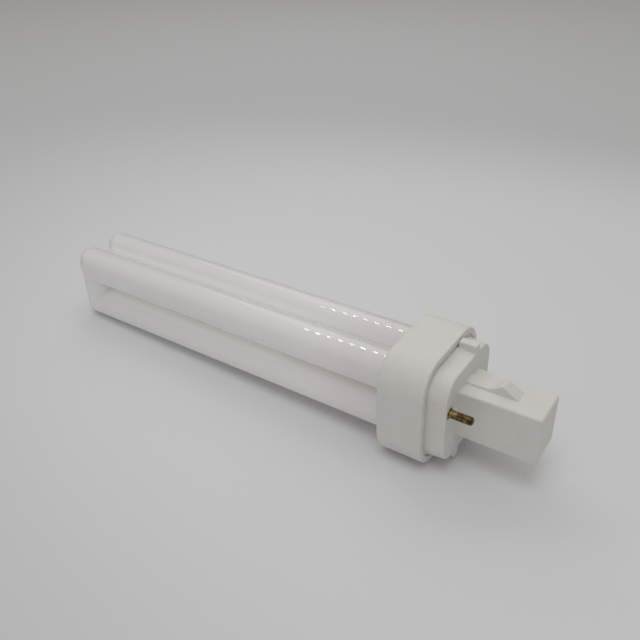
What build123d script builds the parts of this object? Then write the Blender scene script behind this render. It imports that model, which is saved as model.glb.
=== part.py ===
from build123d import *
import os

# Compact fluorescent lamp with four parallel glass legs and a two pin cap, lying on its side
# Origin on the lamp's axis at the cap's seating face, +X out of the cap, +Z up, millimetres
# Depths run from the seating face towards the glass, reaches run from it along +X

# Discharge tube
tube_radius = 6.0
leg_gap = 1.7
tube_depth = 149.0
bend_corner_radius = 3.4
bend_corner_proud = 0.05
leg_end_round = 2.0
pinch_length = 3.5
pinch_width = 9.4
pinch_thickness = 3.0
pinch_edge_round = 0.6
exhaust_tip_radius = 1.5
exhaust_tip_round = 1.35
exhaust_tip_length = 2.6
bridge_radius = 3.5
bridge_gap = 4.0

# Collar, the square moulding that holds the glass
leg_margin = 2.4
collar_corner = 9.5
collar_depth = 19.5
rim_depth = 5.5
collar_wall = 2.0
collar_end_wall = 2.0
collar_glass_edge_round = 0.9
collar_rim_edge_round = 0.7
leg_hole_clearance = 0.2
ledge_width = 1.3
ledge_thickness = 1.2

# Cement that sets the glass in the collar
cement_thickness = 2.0

# Cap base, the moulding with the step, the keys and the starter block
flange_recess = 0.5
flange_thickness = 2.0
flange_clearance = 0.2
groove_width = 0.85
step_corner = 6.2
step_draft = 0.4
step_edge_round = 0.5
step_wall = 1.6
face_wall = 2.0
key_offset = 2.5
key_width = 3.5
key_rise = 2.4
key_clearance = 0.1
block_length = 23.0
block_corner = 0.7
block_end_round = 0.9
block_wall = 1.2
block_end_wall = 1.5

# Latch nose on each narrow side of the starter block
nose_width = 4.3
nose_land_rise = 0.8
nose_land_length = 6.4
nose_ramp_length = 3.4
nose_crest_flat = 0.6
nose_crest_rise = 2.8
nose_fall_length = 4.7

# Contact pins, set one each side of the block and staggered
pin_radius = 1.2
pin_reach = 6.8
pin_inset = 2.4
pin_stagger = 8.0
pin_tip_round = 0.6
pin_tip_wall = 1.5
pin_shank_radius = 1.45
pin_bore_radius = 0.6
pin_collar_radius = 1.7
pin_collar_thickness = 0.8
pin_tail_radius = 0.95
pin_tail_length = 1.2
pin_boss_radius = 2.5
pin_boss_depth = 6.0
pin_counterbore_radius = 1.7
pin_counterbore_depth = 0.5
pin_collar_clearance = 0.2

# Wires and sleeves
wire_radius = 0.25
pinch_lead_gap = 4.4
lead_room = 2.0
lead_bend = 0.4
pin_lead_entry = 1.4
sleeve_radius = 0.55
sleeve_bore_clearance = 0.05
sleeve_share = 0.6

# Crimped splices that join the starter to the tube's leads
splice_radius = 1.2
splice_bore_radius = 0.85
splice_length = 3.4
splice_depth = 3.6
splice_across = 6.8
splice_lead_rise = 0.45
splice_entry_drop = 0.3
splice_entry_gap = 0.7
splice_entry_margin = 0.6

# Glow starter
seat_clearance = 0.25
starter_gap = 1.0
bulb_radius = 3.6
bulb_wall = 0.5
bulb_tip_gap = 2.5
bulb_foot_reach = 4.0
bulb_tip_round = 2.8
bulb_foot_round = 1.0
press_length = 3.4
press_overlap = 0.6
press_width = 6.0
press_thickness = 2.2
press_edge_round = 0.65
post_gap = 2.4
fixed_post_short_of_tip = 4.0
strip_post_length = 5.0
post_jog_depth = 1.0
post_bend = 0.6
strip_thickness = 0.15
strip_width = 2.0
strip_weld_length = 1.6
strip_length = 6.1
strip_bend = 0.8
strip_gap = 0.4

# Capacitor across the starter
capacitor_length = 11.0
capacitor_width = 8.6
capacitor_side_gap = 0.9
capacitor_thickness = 4.4
capacitor_foot_reach = 4.0
capacitor_round = 1.2
capacitor_lead_gap = 5.0
capacitor_turn_depth = 0.8
capacitor_bend = 0.6

# How far a cut runs past what it cuts, and the most of a radius or half side that a round takes
overrun = 1.0
round_limit = 0.95

# Sizes and places worked out from the values above
leg_spacing = 2 * tube_radius + leg_gap
leg_offset = leg_spacing / 2
bend_centre_depth = tube_depth - tube_radius
collar_side = leg_spacing + 2 * (tube_radius + leg_margin + collar_wall)
cavity_side = collar_side - 2 * collar_wall
cavity_corner = collar_corner - collar_wall
cavity_floor_depth = collar_depth - collar_end_wall
bridge_depth = collar_depth + bridge_gap + bridge_radius
flange_top_depth = rim_depth + flange_recess
flange_foot_depth = flange_top_depth + flange_thickness
step_side = cavity_side - 2 * (groove_width + step_draft)
pin_y = step_side / 2 - pin_inset
pin_z = pin_stagger / 2
pin_tail_depth = pin_boss_depth + pin_collar_thickness + pin_tail_length
pinch_end_depth = pin_tail_depth + lead_room
leg_end_depth = pinch_end_depth + pinch_length
lead_turn_depth = pin_tail_depth + lead_room / 2
leg_joint_depth = leg_end_depth + leg_end_round + tube_radius
block_cavity_height = 2 * bulb_radius + starter_gap + capacitor_thickness + 2 * seat_clearance
block_cavity_width = capacitor_width + 2 * capacitor_side_gap
block_height = block_cavity_height + 2 * block_wall
block_thickness = block_cavity_width + 2 * block_wall
bulb_z = -(block_cavity_height / 2 - seat_clearance - bulb_radius)
bulb_reach = block_length - block_end_wall - bulb_tip_gap
capacitor_z = block_cavity_height / 2 - seat_clearance - capacitor_thickness / 2
splice_y = splice_across / 2
splice_z = bulb_z + splice_entry_drop


def bar_x(start, end, radius, y=0.0, z=0.0):
    """Round bar along X between two places."""
    return Pos((start + end) / 2, y, z) * Rot(0, 90, 0) * Cylinder(radius, end - start)


def slab_x(start, end, side_y, side_z, corner):
    """Bar along X with a rounded rectangular section."""
    section = Plane.YZ.offset(start) * RectangleRounded(side_y, side_z, corner)
    return extrude(section, amount=end - start)


def wire_along(points, bend):
    """Round wire through the points, with an arc of the given radius at each corner."""
    path = FilletPolyline(*points, radius=bend)
    section = Plane(origin=path @ 0, z_dir=path % 0) * Circle(wire_radius)
    return sweep(section, path=path)


def turned_half(shape):
    """The same shape after half a turn about the lamp's axis."""
    return Rot(180, 0, 0) * shape


def bend_rounding(side):
    """What a squared bend loses at its outer corner."""
    radius = bend_corner_radius
    inset = radius - bend_corner_proud
    centre_x = -tube_depth + inset
    centre_z = side * (leg_offset + tube_radius - inset)
    depth_y = 3 * tube_radius
    blank = Pos(centre_x - radius, 0, centre_z + side * radius) * Box(2 * radius, depth_y, 2 * radius)
    return blank - Pos(centre_x, 0, centre_z) * Rot(90, 0, 0) * Cylinder(radius, 2 * depth_y)


def squared_u_tube():
    """Two legs and the squared bend that joins them, in the plane y = 0."""
    path = Polyline(
        (-leg_joint_depth, 0, leg_offset),
        (-bend_centre_depth, 0, leg_offset),
        (-bend_centre_depth, 0, -leg_offset),
        (-leg_joint_depth, 0, -leg_offset),
    )
    section = Plane(origin=path @ 0, z_dir=path % 0) * Circle(tube_radius)
    tube = sweep(section, path=path, transition=Transition.RIGHT)
    tube -= bend_rounding(1)
    tube -= bend_rounding(-1)
    return tube


def leg_end(side_y, side_z):
    """Closed end of one leg, inside the collar."""
    stub = bar_x(-leg_joint_depth, -leg_end_depth, tube_radius)
    stub = fillet(stub.edges().group_by(Axis.X)[-1], leg_end_round)
    return Pos(0, side_y * leg_offset, side_z * leg_offset) * stub


def pinch(side_y):
    """Flat pressed seal that holds one electrode's two leads."""
    start = -(leg_end_depth + leg_end_round)
    length = -pinch_end_depth - start
    block = Pos(start + length / 2, 0, 0) * Box(length, pinch_width, pinch_thickness)
    block = fillet(block.edges().filter_by(Axis.X), pinch_edge_round)
    return Pos(0, side_y * leg_offset, leg_offset) * block


def exhaust_tip():
    """Sealed off exhaust tube on the end of the lower front leg."""
    tip = bar_x(-leg_end_depth - leg_end_round, -leg_end_depth + exhaust_tip_length, exhaust_tip_radius)
    tip_round = min(exhaust_tip_round, exhaust_tip_radius * round_limit)
    tip = fillet(tip.edges().group_by(Axis.X)[-1], tip_round)
    return Pos(0, -leg_offset, -leg_offset) * tip


def discharge_tube():
    """The sealed glass vessel: two U tubes, the bridge between them and the four closed ends."""
    u_tube = squared_u_tube()
    vessel = Pos(0, -leg_offset, 0) * u_tube
    vessel += Pos(0, leg_offset, 0) * u_tube
    bridge = Rot(90, 0, 0) * Cylinder(bridge_radius, leg_spacing)
    vessel += Pos(-bridge_depth, 0, -leg_offset) * bridge
    for side_y in (-1, 1):
        for side_z in (-1, 1):
            vessel += leg_end(side_y, side_z)
        vessel += pinch(side_y)
    vessel += exhaust_tip()
    return vessel


def collar():
    """Hollow square moulding with four leg holes and a ledge for the cap base."""
    body = slab_x(-collar_depth, -rim_depth, collar_side, collar_side, collar_corner)
    body = fillet(body.edges().group_by(Axis.X)[0], collar_glass_edge_round)
    body = fillet(body.edges().group_by(Axis.X)[-1], collar_rim_edge_round)
    body -= slab_x(-cavity_floor_depth, -rim_depth + collar_wall, cavity_side, cavity_side, cavity_corner)
    ledge_end = -flange_foot_depth
    ledge_start = ledge_end - ledge_thickness
    ledge_bore = cavity_side - 2 * ledge_width
    ledge_side = cavity_side + collar_wall
    ledge = slab_x(ledge_start, ledge_end, ledge_side, ledge_side, cavity_corner)
    ledge -= slab_x(ledge_start - overrun, ledge_end + overrun, ledge_bore, ledge_bore,
                    cavity_corner - ledge_width)
    body += ledge
    hole_radius = tube_radius + leg_hole_clearance
    for side_y in (-1, 1):
        for side_z in (-1, 1):
            body -= bar_x(-collar_depth - overrun, -cavity_floor_depth + overrun, hole_radius,
                          side_y * leg_offset, side_z * leg_offset)
    return body


def basing_cement():
    """Layer of cement on the collar's floor, round the four legs."""
    layer = slab_x(-cavity_floor_depth, -cavity_floor_depth + cement_thickness,
                   cavity_side, cavity_side, cavity_corner)
    for side_y in (-1, 1):
        for side_z in (-1, 1):
            layer -= bar_x(-collar_depth, -cavity_floor_depth + cement_thickness + overrun, tube_radius,
                           side_y * leg_offset, side_z * leg_offset)
    return layer


def step_shell():
    """The drafted step with its seating face."""
    foot_side = step_side + 2 * step_draft
    foot_corner = step_corner + step_draft
    foot = Plane.YZ.offset(-flange_top_depth) * RectangleRounded(foot_side, foot_side, foot_corner)
    face = Plane.YZ * RectangleRounded(step_side, step_side, step_corner)
    step = loft([foot, face])
    return fillet(step.edges().group_by(Axis.X)[-1], step_edge_round)


def key_rib():
    """Key on the step's upper side."""
    root = step_side / 2 - step_wall
    top = step_side / 2 + key_rise
    length = rim_depth - key_clearance
    rib = Box(length, key_width, top - root)
    return Pos(-length / 2, key_offset + key_width / 2, (root + top) / 2) * rib


def latch_nose():
    """Wedge on the block's upper narrow side that the holder's spring snaps over."""
    root = block_height / 2 - block_wall / 2
    side = block_height / 2
    crest_start = nose_land_length + nose_ramp_length
    crest_end = crest_start + nose_crest_flat
    tip = crest_end + nose_fall_length
    outline = Polyline(
        (-face_wall / 2, root),
        (-face_wall / 2, side + nose_land_rise),
        (nose_land_length, side + nose_land_rise),
        (crest_start, side + nose_crest_rise),
        (crest_end, side + nose_crest_rise),
        (tip, side),
        (tip, root),
        close=True,
    )
    section = Plane.XZ * make_face(outline)
    return extrude(section, amount=nose_width / 2, both=True)


def starter_block():
    """Outside of the block between the pins."""
    block = slab_x(-face_wall / 2, block_length, block_thickness, block_height, block_corner)
    return fillet(block.edges().group_by(Axis.X)[-1], block_end_round)


def pin_hole(y, z):
    """Everything cut away for one pin: bore, counterbore and the seat of its collar."""
    hole = bar_x(-flange_foot_depth - overrun, overrun, pin_shank_radius, y, z)
    hole += bar_x(-pin_counterbore_depth, overrun, pin_counterbore_radius, y, z)
    seat_radius = pin_collar_radius + pin_collar_clearance
    hole += bar_x(-flange_foot_depth - overrun, -pin_boss_depth, seat_radius, y, z)
    return hole


def cap_base():
    """Flange, step, keys, starter block and latch noses as one hollow moulding."""
    flange_side = cavity_side - 2 * flange_clearance
    flange_corner = cavity_corner - flange_clearance
    body = slab_x(-flange_foot_depth, -flange_top_depth, flange_side, flange_side, flange_corner)
    body += step_shell()
    hollow_side = step_side - 2 * step_wall
    body -= slab_x(-flange_foot_depth - overrun, -face_wall, hollow_side, hollow_side,
                   step_corner - step_wall)
    body += starter_block()
    body -= slab_x(-face_wall - overrun, block_length - block_end_wall, block_cavity_width,
                   block_cavity_height, block_corner)
    for y, z in ((-pin_y, pin_z), (pin_y, -pin_z)):
        body += bar_x(-pin_boss_depth, -face_wall, pin_boss_radius, y, z)
    rib = key_rib()
    nose = latch_nose()
    body += rib
    body += turned_half(rib)
    body += nose
    body += turned_half(nose)
    for y, z in ((-pin_y, pin_z), (pin_y, -pin_z)):
        body -= pin_hole(y, z)
    return body


def contact_pin(y, z):
    """Hollow brass pin: free end, thicker shank in the boss, collar behind it and tail for its lead."""
    pin = bar_x(-pin_boss_depth, pin_reach, pin_radius)
    pin = fillet(pin.edges().group_by(Axis.X)[-1], pin_tip_round)
    pin += bar_x(-pin_boss_depth - pin_collar_thickness / 2, 0, pin_shank_radius)
    pin += bar_x(-pin_boss_depth - pin_collar_thickness, -pin_boss_depth, pin_collar_radius)
    pin += bar_x(-pin_tail_depth, -pin_boss_depth, pin_tail_radius)
    pin -= bar_x(-pin_tail_depth - overrun, pin_reach - pin_tip_wall, pin_bore_radius)
    return Pos(0, y, z) * pin


def pin_lead_points(side):
    """Route of the lead from one pinch to the pin on its side."""
    start_y = side * (leg_offset + pinch_lead_gap / 2)
    return [
        (-pinch_end_depth, start_y, leg_offset),
        (-lead_turn_depth, start_y, leg_offset),
        (-lead_turn_depth, side * pin_y, -side * pin_z),
        (-pin_tail_depth + pin_lead_entry, side * pin_y, -side * pin_z),
    ]


def starter_lead_points(side):
    """Route of the lead from one pinch to the splice on its side."""
    start_y = side * (leg_offset - pinch_lead_gap / 2)
    end_z = splice_z + splice_lead_rise
    return [
        (-pinch_end_depth, start_y, leg_offset),
        (-lead_turn_depth, start_y, leg_offset),
        (-lead_turn_depth, side * splice_y, end_z),
        (-splice_depth - splice_entry_margin, side * splice_y, end_z),
    ]


def lead_sleeve(points):
    """Insulating sleeve on the long middle run of a lead."""
    start = Vector(*points[1])
    run = Vector(*points[2]) - start
    length = run.length * sleeve_share
    origin = start + run * ((1 - sleeve_share) / 2)
    ring = Circle(sleeve_radius) - Circle(wire_radius + sleeve_bore_clearance)
    return extrude(Plane(origin=origin, z_dir=run.normalized()) * ring, amount=length)


def splice(side):
    """Crimped sleeve round the ends of three wires."""
    tube = bar_x(-splice_depth - splice_length, -splice_depth, splice_radius)
    tube -= bar_x(-splice_depth - splice_length - overrun, -splice_depth + overrun, splice_bore_radius)
    return Pos(0, side * splice_y, splice_z) * tube


def splice_entry(side, offset):
    """Start and end of a wire that enters a splice from the block's side."""
    y = side * (splice_y + offset)
    z = splice_z - splice_entry_drop
    end_depth = splice_depth + splice_length - splice_entry_margin
    return y, z, end_depth


def starter_post(side, reach):
    """Wire of the glow starter, from inside its bulb to its splice."""
    y, z, end_depth = splice_entry(side, -splice_entry_gap / 2)
    post_y = side * post_gap / 2
    jog = abs(y - post_y)
    return wire_along([
        (reach, post_y, bulb_z),
        (-post_jog_depth, post_y, bulb_z),
        (-post_jog_depth - jog, y, z),
        (-end_depth, y, z),
    ], post_bend)


def starter_bulb():
    """Glass envelope with the flat press that the two posts pass through."""
    outer = bar_x(bulb_foot_reach, bulb_reach, bulb_radius)
    outer = fillet(outer.edges().group_by(Axis.X)[-1], bulb_tip_round)
    outer = fillet(outer.edges().group_by(Axis.X)[0], bulb_foot_round)
    inner = bar_x(bulb_foot_reach + bulb_wall, bulb_reach - bulb_wall, bulb_radius - bulb_wall)
    inner = fillet(inner.edges().group_by(Axis.X)[-1], bulb_tip_round - bulb_wall)
    press_end = bulb_foot_reach + press_overlap
    press = Pos(press_end - press_length / 2, 0, 0) * Box(press_length, press_width, press_thickness)
    press = fillet(press.edges().filter_by(Axis.X), press_edge_round)
    bulb = outer - inner + press
    for side in (-1, 1):
        bulb -= bar_x(press_end - press_length - overrun, press_end + overrun, wire_radius,
                      side * post_gap / 2)
    return Pos(0, 0, bulb_z) * bulb


def bimetal_strip():
    """Bent strip on the short post, just short of the long one."""
    strip_y = post_gap / 2 + wire_radius + strip_thickness / 2
    tip_y = -post_gap / 2 + wire_radius + strip_gap
    foot = bulb_foot_reach + strip_post_length - strip_weld_length
    reach = foot + strip_length
    path = FilletPolyline(
        (foot, strip_y, bulb_z),
        (reach, strip_y, bulb_z),
        (reach, tip_y, bulb_z),
        radius=strip_bend,
    )
    section = Rectangle(strip_width, strip_thickness)
    return sweep(Plane(origin=path @ 0, x_dir=(0, 0, 1), z_dir=path % 0) * section, path=path)


def capacitor_body():
    """Dipped film capacitor beside the starter."""
    body = Box(capacitor_length, capacitor_width, capacitor_thickness)
    body = fillet(body.edges(), capacitor_round)
    return Pos(capacitor_foot_reach + capacitor_length / 2, 0, capacitor_z) * body


def capacitor_lead(side):
    """Lead of the capacitor, down to the splice on its side."""
    y, z, end_depth = splice_entry(side, splice_entry_gap / 2)
    start_y = side * capacitor_lead_gap / 2
    return wire_along([
        (capacitor_foot_reach, start_y, capacitor_z),
        (-capacitor_turn_depth, start_y, capacitor_z),
        (-capacitor_turn_depth, y, z),
        (-end_depth, y, z),
    ], capacitor_bend)


pieces = {
    "discharge_tube": discharge_tube(),
    "collar": collar(),
    "basing_cement": basing_cement(),
    "cap_base": cap_base(),
    "starter_bulb": starter_bulb(),
    "starter_bimetal_strip": bimetal_strip(),
    "starter_fixed_post": starter_post(-1, bulb_reach - fixed_post_short_of_tip),
    "starter_strip_post": starter_post(1, bulb_foot_reach + strip_post_length),
    "capacitor_body": capacitor_body(),
}
for side, place in ((-1, "front"), (1, "rear")):
    pin_route = pin_lead_points(side)
    starter_route = starter_lead_points(side)
    pieces[f"contact_pin_{place}"] = contact_pin(side * pin_y, -side * pin_z)
    pieces[f"tube_to_pin_lead_{place}"] = wire_along(pin_route, lead_bend)
    pieces[f"tube_to_starter_lead_{place}"] = wire_along(starter_route, lead_bend)
    pieces[f"pin_lead_sleeve_{place}"] = lead_sleeve(pin_route)
    pieces[f"starter_lead_sleeve_{place}"] = lead_sleeve(starter_route)
    pieces[f"splice_{place}"] = splice(side)
    pieces[f"capacitor_lead_{place}"] = capacitor_lead(side)

os.makedirs("parts", exist_ok=True)
for name, shape in pieces.items():
    export_step(shape, f"parts/{name}.step")
    print(name, round(shape.volume, 2))
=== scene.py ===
"""Compact fluorescent lamp with four parallel glass legs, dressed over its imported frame.

Sizes in the classes are millimetres in the frame's own axes: +X out of the cap, -X along the legs, +Z up.
"""
import logging
import math
from dataclasses import dataclass, replace
from enum import Enum

import bmesh
import bpy
from bmesh.types import BMesh
from bpy.types import Material, Mesh, Node, NodeSocket, NodeTree, Object
from mathutils import Matrix, Vector


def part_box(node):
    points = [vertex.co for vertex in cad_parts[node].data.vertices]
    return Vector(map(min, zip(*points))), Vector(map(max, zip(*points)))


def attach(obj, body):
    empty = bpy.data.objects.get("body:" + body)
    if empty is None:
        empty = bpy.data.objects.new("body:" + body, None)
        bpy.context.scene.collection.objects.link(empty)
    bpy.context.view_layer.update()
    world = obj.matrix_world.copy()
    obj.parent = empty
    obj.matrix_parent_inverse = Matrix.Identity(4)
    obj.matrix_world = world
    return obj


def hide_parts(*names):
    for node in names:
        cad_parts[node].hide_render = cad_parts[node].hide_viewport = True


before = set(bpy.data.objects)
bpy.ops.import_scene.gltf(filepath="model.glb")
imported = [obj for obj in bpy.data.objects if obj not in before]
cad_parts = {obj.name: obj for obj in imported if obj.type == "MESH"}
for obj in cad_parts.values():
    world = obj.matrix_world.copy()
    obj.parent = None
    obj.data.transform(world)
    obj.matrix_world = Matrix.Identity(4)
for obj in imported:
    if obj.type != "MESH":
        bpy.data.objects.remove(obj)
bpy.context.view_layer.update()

Triple = tuple[float, float, float]
Pair = tuple[float, float]
Profile = list[Pair]

MM = 0.001
HALF_TURN = math.pi
QUARTER_TURN = math.pi / 2
FULL_TURN = 2 * math.pi
SHARP_FROM = math.radians(28)
OVERSHOOT = 1.0
GLASS_INDEX = 1.5
SAME_PLACE = 1e-6
BODY = "root"
log = logging.getLogger("lamp")


class Side(Enum):
    """The lamp's two sides, by the node of their contact pin."""

    FRONT = "contact_pin_front"
    REAR = "contact_pin_rear"


class Join(Enum):
    """How one solid is combined with another."""

    ADD = "UNION"
    CUT = "DIFFERENCE"


class Toward(Enum):
    """Which way a rounded edge runs from its wall to its face, along X."""

    CAP_END = 1
    GLASS_END = -1


class Term:
    """A number in a node tree. Arithmetic on it adds Math nodes to the tree."""

    def __init__(self, tree: NodeTree, socket: NodeSocket) -> None:
        """Wrap one output socket of the tree."""
        self.tree = tree
        self.socket = socket

    def math(self, operation: str, *others: "Term | float", clamp: bool = False) -> "Term":
        """Add one Math node.

        Args:
            operation: The Math node's operation.
            others: Its further operands.
            clamp: Whether the result is kept from 0 to 1.

        Returns:
            The node's result.
        """
        node = self.tree.nodes.new("ShaderNodeMath")
        node.operation = operation
        node.use_clamp = clamp
        for slot, value in zip(node.inputs, (self, *others)):
            plug(self.tree, value, slot)
        return Term(self.tree, node.outputs[0])

    def __add__(self, other: "Term | float") -> "Term":
        """Sum."""
        return self.math("ADD", other)

    def __sub__(self, other: "Term | float") -> "Term":
        """Difference."""
        return self.math("SUBTRACT", other)

    def __mul__(self, other: "Term | float") -> "Term":
        """Product."""
        return self.math("MULTIPLY", other)

    def between(self, low: float, high: float) -> "Term":
        """Share of the way from low to high, kept from 0 to 1."""
        return (self - low).math("DIVIDE", high - low, clamp=True)

    def eased(self, low: float, high: float, unit: float = 1.0) -> "Term":
        """Share of the way from low to high, eased at both ends.

        Args:
            low: Where the share is 0.
            high: Where it is 1.
            unit: What both are counted in.

        Returns:
            The share, from 0 to 1.
        """
        node = self.tree.nodes.new("ShaderNodeMapRange")
        node.interpolation_type = "SMOOTHSTEP"
        for slot, value in (("Value", self), ("From Min", low * unit), ("From Max", high * unit)):
            plug(self.tree, value, node.inputs[slot])
        return Term(self.tree, node.outputs[0])

    def sin(self) -> "Term":
        """Sine."""
        return self.math("SINE")

    def cos(self) -> "Term":
        """Cosine."""
        return self.math("COSINE")

    def size(self) -> "Term":
        """Absolute value."""
        return self.math("ABSOLUTE")


def plug(tree: NodeTree, value: object, slot: NodeSocket) -> None:
    """Link something to an input socket, or write a plain value into it.

    Args:
        tree: The tree that owns the socket.
        value: A term, an output socket, a node for its first output, or a plain value.
        slot: The input socket.
    """
    if isinstance(value, Node):
        value = value.outputs[0]
    if isinstance(value, Term):
        value = value.socket
    if isinstance(value, NodeSocket):
        tree.links.new(value, slot)
    else:
        slot.default_value = value


class Nodes:
    """A node tree in the making."""

    def __init__(self, tree: NodeTree) -> None:
        """Start from a tree."""
        self.tree = tree

    def fill(self, node: Node, **values: object) -> Node:
        """Fill a node's inputs.

        Args:
            node: The node.
            values: Input names, with underscores for spaces, and what goes into each.

        Returns:
            The same node.
        """
        for name, value in values.items():
            plug(self.tree, value, node.inputs[name.replace("_", " ")])
        return node

    def node(self, kind: str, **values: object) -> Node:
        """Add a node and fill its inputs, named as for fill."""
        return self.fill(self.tree.nodes.new(kind), **values)

    def split(self, vector: Node | NodeSocket) -> tuple[Term, ...]:
        """X, Y and Z of a vector."""
        return tuple(Term(self.tree, s) for s in self.node("ShaderNodeSeparateXYZ", Vector=vector).outputs)


class ShapeTree(Nodes):
    """A Geometry Nodes tree in the making, with named inputs for its sizes."""

    def __init__(self, name: str) -> None:
        """Start an empty tree with one geometry output.

        Args:
            name: The tree's name.
        """
        super().__init__(bpy.data.node_groups.new(name, "GeometryNodeTree"))
        self.tree.interface.new_socket(name="Geometry", in_out="OUTPUT", socket_type="NodeSocketGeometry")
        self.entry = self.tree.nodes.new("NodeGroupInput")
        self.exit = self.tree.nodes.new("NodeGroupOutput")
        self.values: dict[str, float | int] = {}

    def count(self, name: str, value: float | int, kind: str = "NodeSocketInt") -> NodeSocket:
        """Add one named input and remember its value by the socket's identifier.

        Args:
            name: The input's name.
            value: Its value.
            kind: The socket's type.

        Returns:
            The input in the tree.
        """
        made = self.tree.interface.new_socket(name=name, in_out="INPUT", socket_type=kind)
        self.values[made.identifier] = value
        return next(s for s in self.entry.outputs if s.identifier == made.identifier)

    def length(self, name: str, value: float) -> Term:
        """Add a named length, given in millimetres."""
        return Term(self.tree, self.count(name, value * MM, "NodeSocketFloat"))

    def vector(self, x: Term | float, y: Term | float, z: Term | float) -> Node:
        """Join three numbers to a vector."""
        return self.node("ShaderNodeCombineXYZ", X=x, Y=y, Z=z)

    def mesh(self, geometry: Node, material: Material) -> Mesh:
        """Realize the instances, set the material, and evaluate the tree on an empty mesh.

        Args:
            geometry: What the tree has made.
            material: Its finish.

        Returns:
            The result as a plain mesh, with no modifier left.
        """
        real = self.node("GeometryNodeRealizeInstances", Geometry=geometry)
        done = self.node("GeometryNodeSetMaterial", Geometry=real, Material=material)
        plug(self.tree, done, self.exit.inputs[0])
        host = placed(self.tree.name, bpy.data.meshes.new(self.tree.name))
        modifier = host.modifiers.new(self.tree.name, "NODES")
        modifier.node_group = self.tree
        for identifier, value in self.values.items():
            modifier[identifier] = value
        return baked(host)


def placed(name: str, data: object) -> Object:
    """Put a new object in the scene.

    Args:
        name: Its name.
        data: Its mesh, light or camera.

    Returns:
        The object.
    """
    made = bpy.data.objects.new(name, data)
    bpy.context.scene.collection.objects.link(made)
    return made


def baked(host: Object) -> Mesh:
    """Turn an object with modifiers into a plain mesh and remove the object.

    Args:
        host: The object, linked to the scene.

    Returns:
        A mesh with the modifiers' result.
    """
    host.update_tag()
    bpy.context.view_layer.update()
    graph = bpy.context.evaluated_depsgraph_get()
    mesh = bpy.data.meshes.new_from_object(host.evaluated_get(graph), depsgraph=graph)
    mesh.name = host.name
    bpy.data.objects.remove(host)
    return mesh


def combined(body: Mesh, steps: list[tuple[Join, list[Mesh]]]) -> Mesh:
    """Add solids to a body and cut solids from it, in order.

    Args:
        body: The solid to start from.
        steps: What is done with which further solids. Those of one step don't touch each other.

    Returns:
        The combined solid.
    """
    host = placed("body", body)
    tools = []
    for join, meshes in steps:
        work = bmesh.new()
        for mesh in meshes:
            work.from_mesh(mesh)
        tools.append(placed("tool", closed(work)))
        modifier = host.modifiers.new("step", "BOOLEAN")
        modifier.operation = join.value
        modifier.solver = "EXACT"
        modifier.object = tools[-1]
    result = baked(host)
    for tool in tools:
        bpy.data.objects.remove(tool)
    return result


def circle(radius: float, sides: int) -> Profile:
    """Points at even steps round a circle about 0, 0."""
    angles = [i / sides * FULL_TURN for i in range(sides)]
    return [(radius * math.cos(angle), radius * math.sin(angle)) for angle in angles]


def quarter(steps: int) -> Profile:
    """Sine and cosine at even steps over a quarter turn, with both ends."""
    angles = [step / steps * QUARTER_TURN for step in range(steps + 1)]
    return [(math.sin(angle), math.cos(angle)) for angle in angles]


@dataclass(frozen=True)
class Ring:
    """One rounded rectangle across the lamp's axis."""

    x: float
    width: float
    height: float
    corner: float

    def points(self, steps: int) -> list[Vector]:
        """Points round the ring.

        Args:
            steps: Runs along each rounded corner.

        Returns:
            The points, with as many for every ring of the same steps.
        """
        corner = min(self.corner, self.width / 2, self.height / 2)
        found = []
        for side, (way_y, way_z) in enumerate(((1, 1), (-1, 1), (-1, -1), (1, -1))):
            for step in range(steps + 1):
                turn = (side + step / steps) * QUARTER_TURN
                y = way_y * (self.width / 2 - corner) + corner * math.cos(turn)
                z = way_z * (self.height / 2 - corner) + corner * math.sin(turn)
                found.append(Vector((self.x, y, z)))
        return found

    def moved(self, x: float, inset: float = 0.0) -> "Ring":
        """The ring at another place, drawn in by the inset on every side."""
        return Ring(x, self.width - 2 * inset, self.height - 2 * inset, self.corner - inset)


def rounding(full: Ring, radius: float, toward: Toward = Toward.CAP_END, steps: int = 6) -> list[Ring]:
    """Rings that round the edge where a wall meets a face.

    Args:
        full: The wall's section, at the face's place.
        radius: The edge's radius, below 0 where a cavity's wall widens to the face.
        toward: Which way the rings run from the wall to the face.
        steps: Runs along the round.

    Returns:
        The rings, from the wall to the face.
    """
    return [full.moved(full.x - toward.value * abs(radius) * (1 - sine), radius * (1 - cosine))
            for sine, cosine in quarter(steps)]


def skinned(loops: list[list[Vector]], first: bool = True, last: bool = True) -> BMesh:
    """Belts of faces from each loop of points to the next.

    Args:
        loops: The loops, in millimetres, each with as many points.
        first: Whether a face closes the first loop.
        last: Whether a face closes the last loop.

    Returns:
        The belts, in metres.
    """
    work = bmesh.new()
    rows = [[work.verts.new(point * MM) for point in loop] for loop in loops]
    for near, far in zip(rows, rows[1:]):
        for i in range(len(near)):
            j = (i + 1) % len(near)
            work.faces.new((near[i], near[j], far[j], far[i]))
    if first:
        work.faces.new(rows[0])
    if last:
        work.faces.new(rows[-1])
    return work


def closed(work: BMesh) -> Mesh:
    """Turn a bmesh into a mesh with its faces outwards, and free the bmesh.

    Args:
        work: The bmesh.

    Returns:
        The mesh.
    """
    bmesh.ops.recalc_face_normals(work, faces=work.faces)
    mesh = bpy.data.meshes.new("form")
    work.to_mesh(mesh)
    work.free()
    return mesh


def loft(rings: list[Ring], steps: int) -> Mesh:
    """Solid through a list of rings, with steps runs along each corner and a flat face at both ends."""
    return closed(skinned([ring.points(steps) for ring in rings]))


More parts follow.
